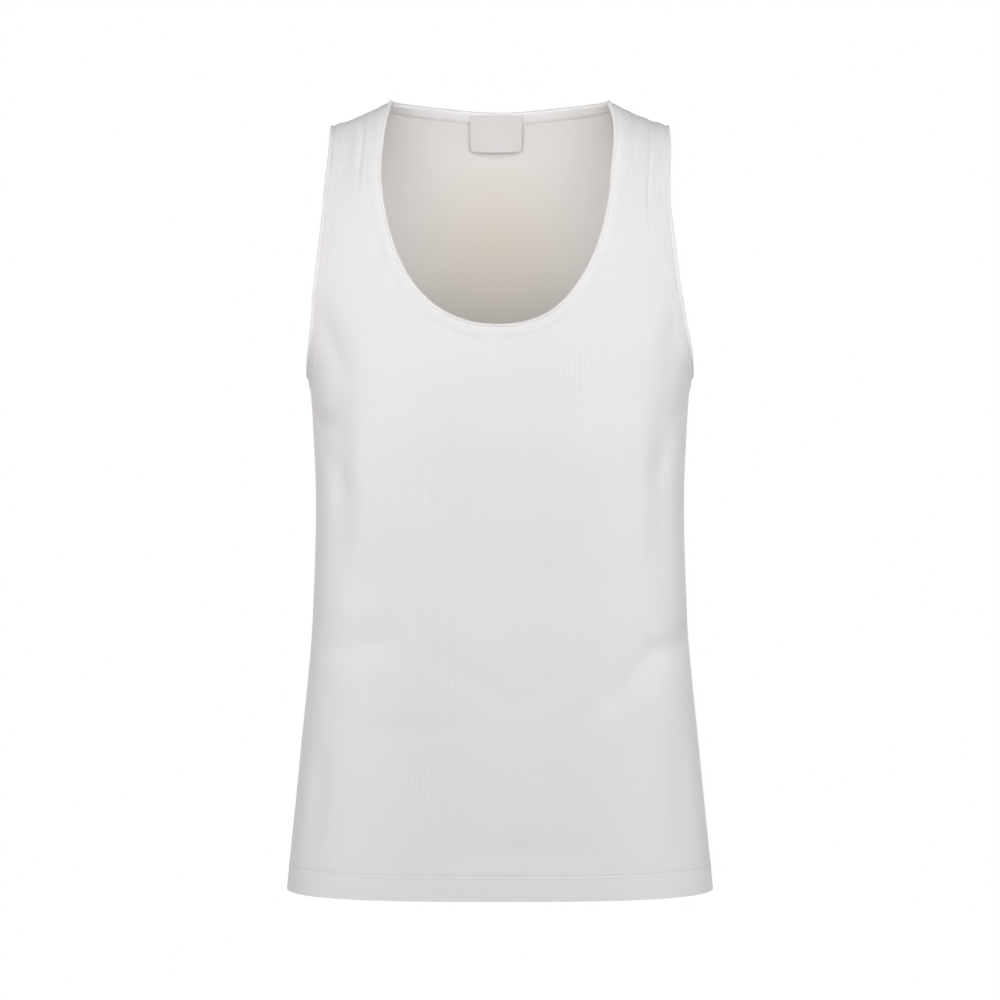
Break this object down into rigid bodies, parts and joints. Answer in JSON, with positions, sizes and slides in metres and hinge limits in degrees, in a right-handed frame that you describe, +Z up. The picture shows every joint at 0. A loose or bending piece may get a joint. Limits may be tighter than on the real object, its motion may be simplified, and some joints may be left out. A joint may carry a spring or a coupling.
{
  "type": "tank top",
  "caption": "Sleeveless rib-knit tank top, hollow and filled out as if worn, with a deep scoop neck, broad straps, bound neck and armholes and a turned-up hem.",
  "frame": {"origin": "midway between the two shoulder straps, at the height where the shoulders carry them", "axes": "+X across the shoulders to the viewer's right as seen from the front, the front faces -Y, +Z up along the garment's length"},
  "size_m": [0.3502, 0.202, 0.6464],
  "materials": {
    "rib_cotton": "matt white rib-knit cotton jersey",
    "binding_cotton": "matt white self-rib binding with a rolled edge",
    "label_tape": "pale satin woven tape, blank"
  },
  "bodies": {
    "root": {"front_panel": "rib_cotton", "back_panel": "rib_cotton", "neck_binding": "binding_cotton", "armhole_binding_right": "binding_cotton", "armhole_binding_left": "binding_cotton", "neck_label": "label_tape"}
  },
  "joints": []
}
